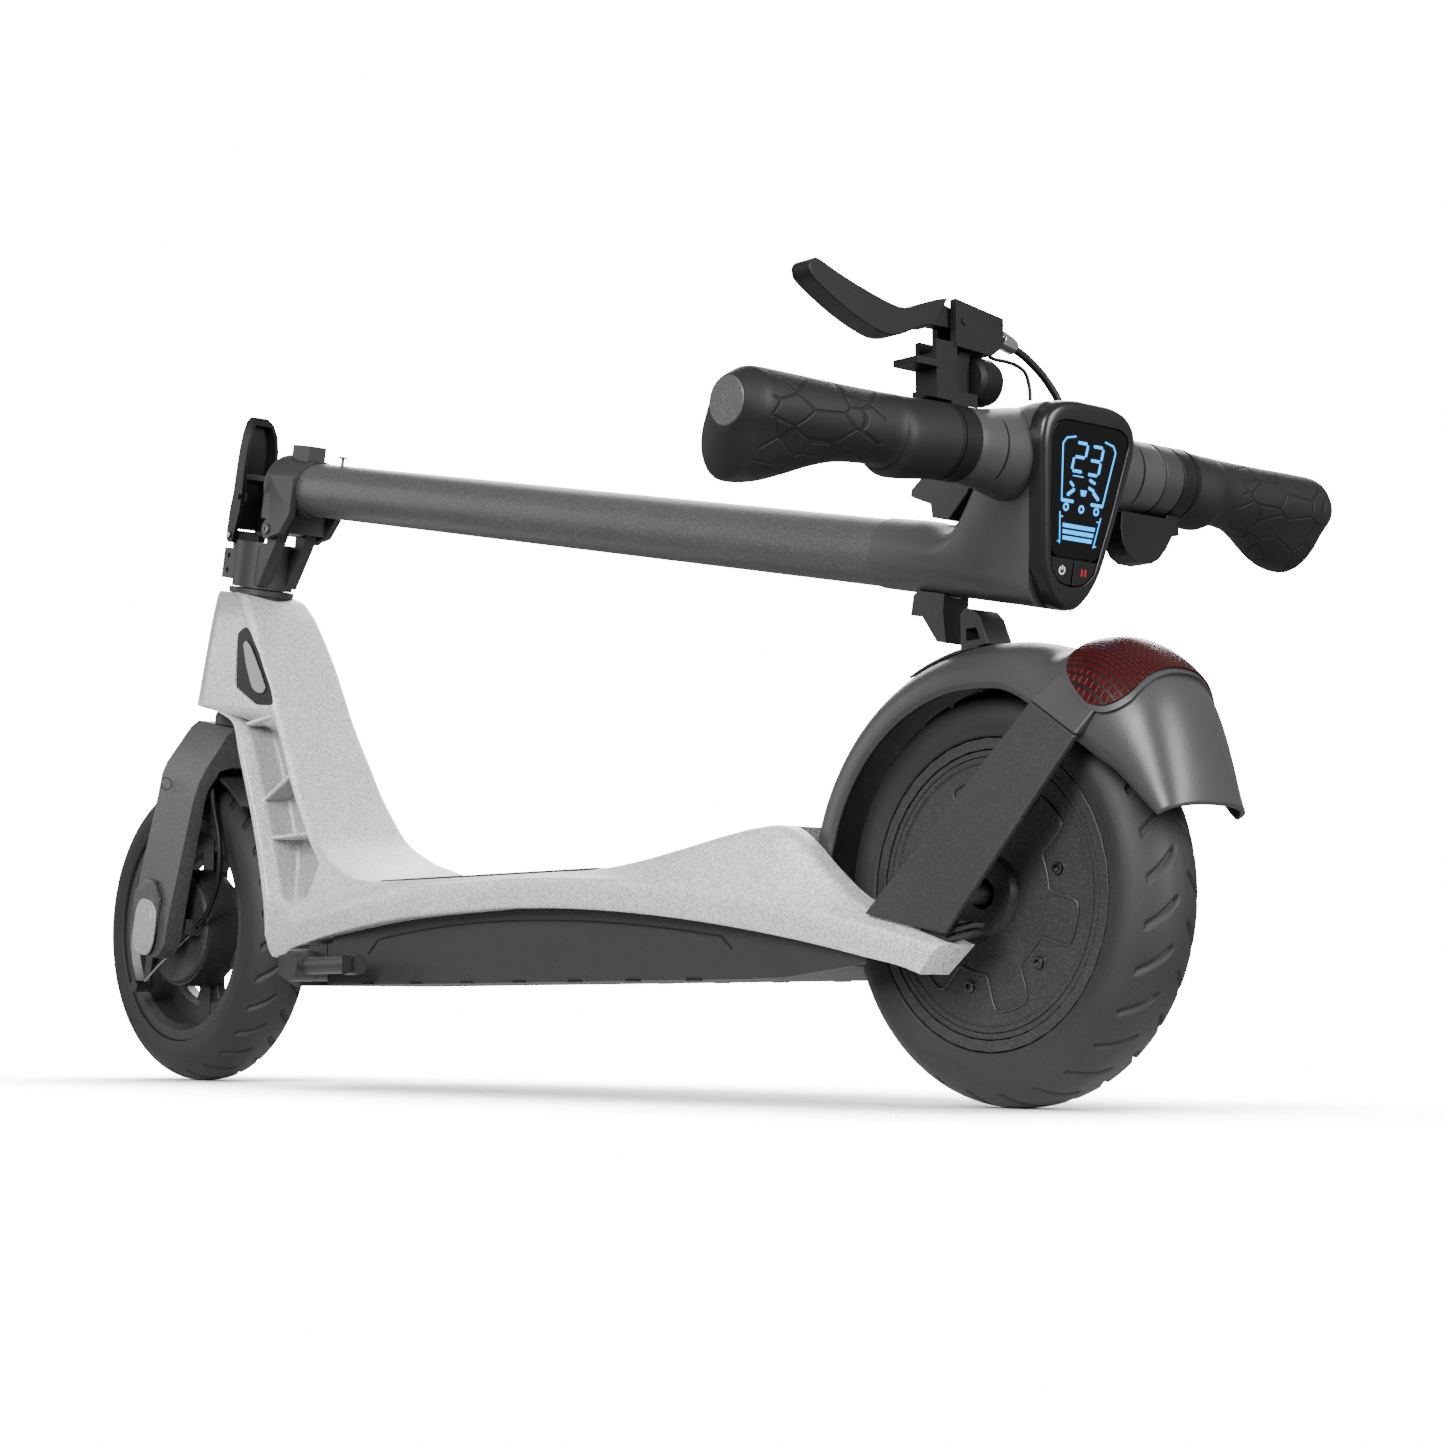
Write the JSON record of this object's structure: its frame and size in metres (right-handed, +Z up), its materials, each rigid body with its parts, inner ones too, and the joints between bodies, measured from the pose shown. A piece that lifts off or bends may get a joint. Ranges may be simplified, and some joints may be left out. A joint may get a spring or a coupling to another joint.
{
  "type": "electric kick scooter",
  "caption": "Folding electric kick scooter with the stem folded back over the deck, hub motor, drum brake, lit display and a hinged kickstand",
  "frame": {"origin": "on the ground, midway along the whole folded length, on the centre plane", "axes": "-X is forward, -Y is the rider's left, +Z is up"},
  "size_m": [1.1879, 0.516, 0.5449],
  "materials": {
    "main_frame": "sparkle silver, low gloss",
    "neck_insert_left": "fine grain",
    "neck_insert_right": "fine grain",
    "deck_mat": "matt ribbed",
    "battery_tray": "matt",
    "battery_pack": "shrink film",
    "controller_box": "satin",
    "rear_fender": "fine grain",
    "tail_light": "clear red",
    "fender_stay_left": "matt",
    "fender_stay_right": "matt",
    "fender_catch": "matt",
    "rear_axle": "satin",
    "motor_stator": "wound copper",
    "kickstand_bracket": "matt",
    "headset_upper": "black anodised",
    "headset_lower": "black anodised",
    "kickstand_leg": "matt",
    "rear_tyre": "matt tread",
    "motor_shell": "dark satin",
    "motor_cover": "dark satin",
    "fork": "sparkle black, low gloss",
    "front_mudguard": "fine grain",
    "front_axle": "satin",
    "axle_cover_left": "silver paint",
    "axle_cover_right": "silver paint",
    "brake_backplate": "dark satin",
    "brake_shoe_front": "as cast",
    "brake_shoe_rear": "as cast",
    "front_brake_cable": "smooth sleeve",
    "brake_inner_wire": "twisted wire",
    "steerer_block": "matt",
    "latch_pin": "satin",
    "brake_arm": "satin",
    "latch_lever": "matt",
    "latch_hook": "satin",
    "front_tyre": "matt tread",
    "front_rim": "dark satin",
    "fold_pin": "satin",
    "stem_base": "matt",
    "stem_tube": "matt",
    "stem_hook": "matt",
    "bar_head": "fine grain",
    "display_bezel": "satin",
    "display_lens": "gloss",
    "handlebar_tube": "satin",
    "grip_left": "embossed",
    "grip_right": "embossed",
    "headlight_housing": "fine grain",
    "headlight_lens": "clear",
    "brake_clamp": "matt",
    "barrel_adjuster": "bright",
    "lever_cable": "smooth sleeve",
    "switch_wire": "smooth sleeve",
    "bell": "satin",
    "throttle_housing": "fine grain",
    "brake_lever": "satin",
    "throttle_lever": "fine grain",
    "power_button": "satin",
    "mode_button": "satin"
  },
  "bodies": {
    "frame": {"main_frame": "main_frame", "neck_insert_left": "neck_insert_left", "neck_insert_right": "neck_insert_right", "deck_mat": "deck_mat", "battery_tray": "battery_tray", "battery_pack": "battery_pack", "controller_box": "controller_box", "rear_fender": "rear_fender", "tail_light": "tail_light", "fender_stay_left": "fender_stay_left", "fender_stay_right": "fender_stay_right", "fender_catch": "fender_catch", "rear_axle": "rear_axle", "motor_stator": "motor_stator", "kickstand_bracket": "kickstand_bracket", "headset_upper": "headset_upper", "headset_lower": "headset_lower"},
    "kickstand": {"kickstand_leg": "kickstand_leg"},
    "rear_wheel": {"rear_tyre": "rear_tyre", "motor_shell": "motor_shell", "motor_cover": "motor_cover"},
    "steering": {"fork": "fork", "front_mudguard": "front_mudguard", "front_axle": "front_axle", "axle_cover_left": "axle_cover_left", "axle_cover_right": "axle_cover_right", "brake_backplate": "brake_backplate", "brake_shoe_front": "brake_shoe_front", "brake_shoe_rear": "brake_shoe_rear", "front_brake_cable": "front_brake_cable", "brake_inner_wire": "brake_inner_wire", "steerer_block": "steerer_block", "latch_pin": "latch_pin"},
    "cam_arm": {"brake_arm": "brake_arm"},
    "latch": {"latch_lever": "latch_lever"},
    "hook": {"latch_hook": "latch_hook"},
    "front_wheel": {"front_tyre": "front_tyre", "front_rim": "front_rim"},
    "stem": {"fold_pin": "fold_pin", "stem_base": "stem_base", "stem_tube": "stem_tube", "stem_hook": "stem_hook", "bar_head": "bar_head", "display_bezel": "display_bezel", "display_lens": "display_lens", "handlebar_tube": "handlebar_tube", "grip_left": "grip_left", "grip_right": "grip_right", "headlight_housing": "headlight_housing", "headlight_lens": "headlight_lens", "brake_clamp": "brake_clamp", "barrel_adjuster": "barrel_adjuster", "lever_cable": "lever_cable", "switch_wire": "switch_wire", "bell": "bell", "throttle_housing": "throttle_housing"},
    "brake": {"brake_lever": "brake_lever"},
    "throttle": {"throttle_lever": "throttle_lever"},
    "power_key": {"power_button": "power_button"},
    "mode_key": {"mode_button": "mode_button"}
  },
  "joints": [
    {"name": "steer", "type": "hinge", "parent": "frame", "child": "steering", "pos_m": [-0.3965, 0, 0.4005], "axis": [0.1959, 0, 0.9806], "range_deg": [-45, 45]},
    {"name": "fold", "type": "hinge", "parent": "steering", "child": "stem", "pos_m": [-0.35156, 0, 0.44169], "axis": [0, -1, 0], "range_deg": [0, 90]},
    {"name": "latch_swing", "type": "hinge", "parent": "steering", "child": "latch", "pos_m": [-0.4219, 0, 0.44688], "axis": [0, -1, 0], "range_deg": [0, 95]},
    {"name": "hook_swing", "type": "hinge", "parent": "latch", "child": "hook", "pos_m": [-0.40873, 0, 0.47708], "axis": [0, -1, 0], "range_deg": [0, 5], "stiffness_Nm_per_rad": 0.05},
    {"name": "front_wheel_spin", "type": "hinge", "parent": "steering", "child": "front_wheel", "pos_m": [-0.469, 0, 0.12496], "axis": [0, 1, 0], "continuous": true},
    {"name": "rear_wheel_spin", "type": "hinge", "parent": "frame", "child": "rear_wheel", "pos_m": [0.434, 0, 0.125], "axis": [0, 1, 0], "continuous": true},
    {"name": "kickstand_swing", "type": "hinge", "parent": "frame", "child": "kickstand", "pos_m": [-0.2135, -0.076, 0.09], "axis": [0.139, 0.9903, 0], "range_deg": [0, 78]},
    {"name": "brake_pull", "type": "hinge", "parent": "stem", "child": "brake", "pos_m": [0.46308, -0.083, 0.45119], "axis": [1, 0, 0], "range_deg": [0, 15], "stiffness_Nm_per_rad": 4},
    {"name": "brake_cam", "type": "hinge", "parent": "steering", "child": "cam_arm", "pos_m": [-0.50312, 0, 0.10731], "axis": [0, -1, 0], "range_deg": [0, 5]},
    {"name": "throttle_press", "type": "hinge", "parent": "stem", "child": "throttle", "pos_m": [0.46308, 0.1, 0.38119], "axis": [0, 1, 0], "range_deg": [0, 45], "stiffness_Nm_per_rad": 0.6},
    {"name": "power_press", "type": "slide", "parent": "stem", "child": "power_key", "axis": [-0.9806, 0, 0.1959], "range_m": [0, 0.0012], "stiffness_N_per_m": 800},
    {"name": "mode_press", "type": "slide", "parent": "stem", "child": "mode_key", "axis": [-0.9806, 0, 0.1959], "range_m": [0, 0.0012], "stiffness_N_per_m": 800}
  ],
  "couplings": [
    {"joint": "brake_cam", "follows": "brake_pull", "ratio": 0.3333}
  ]
}
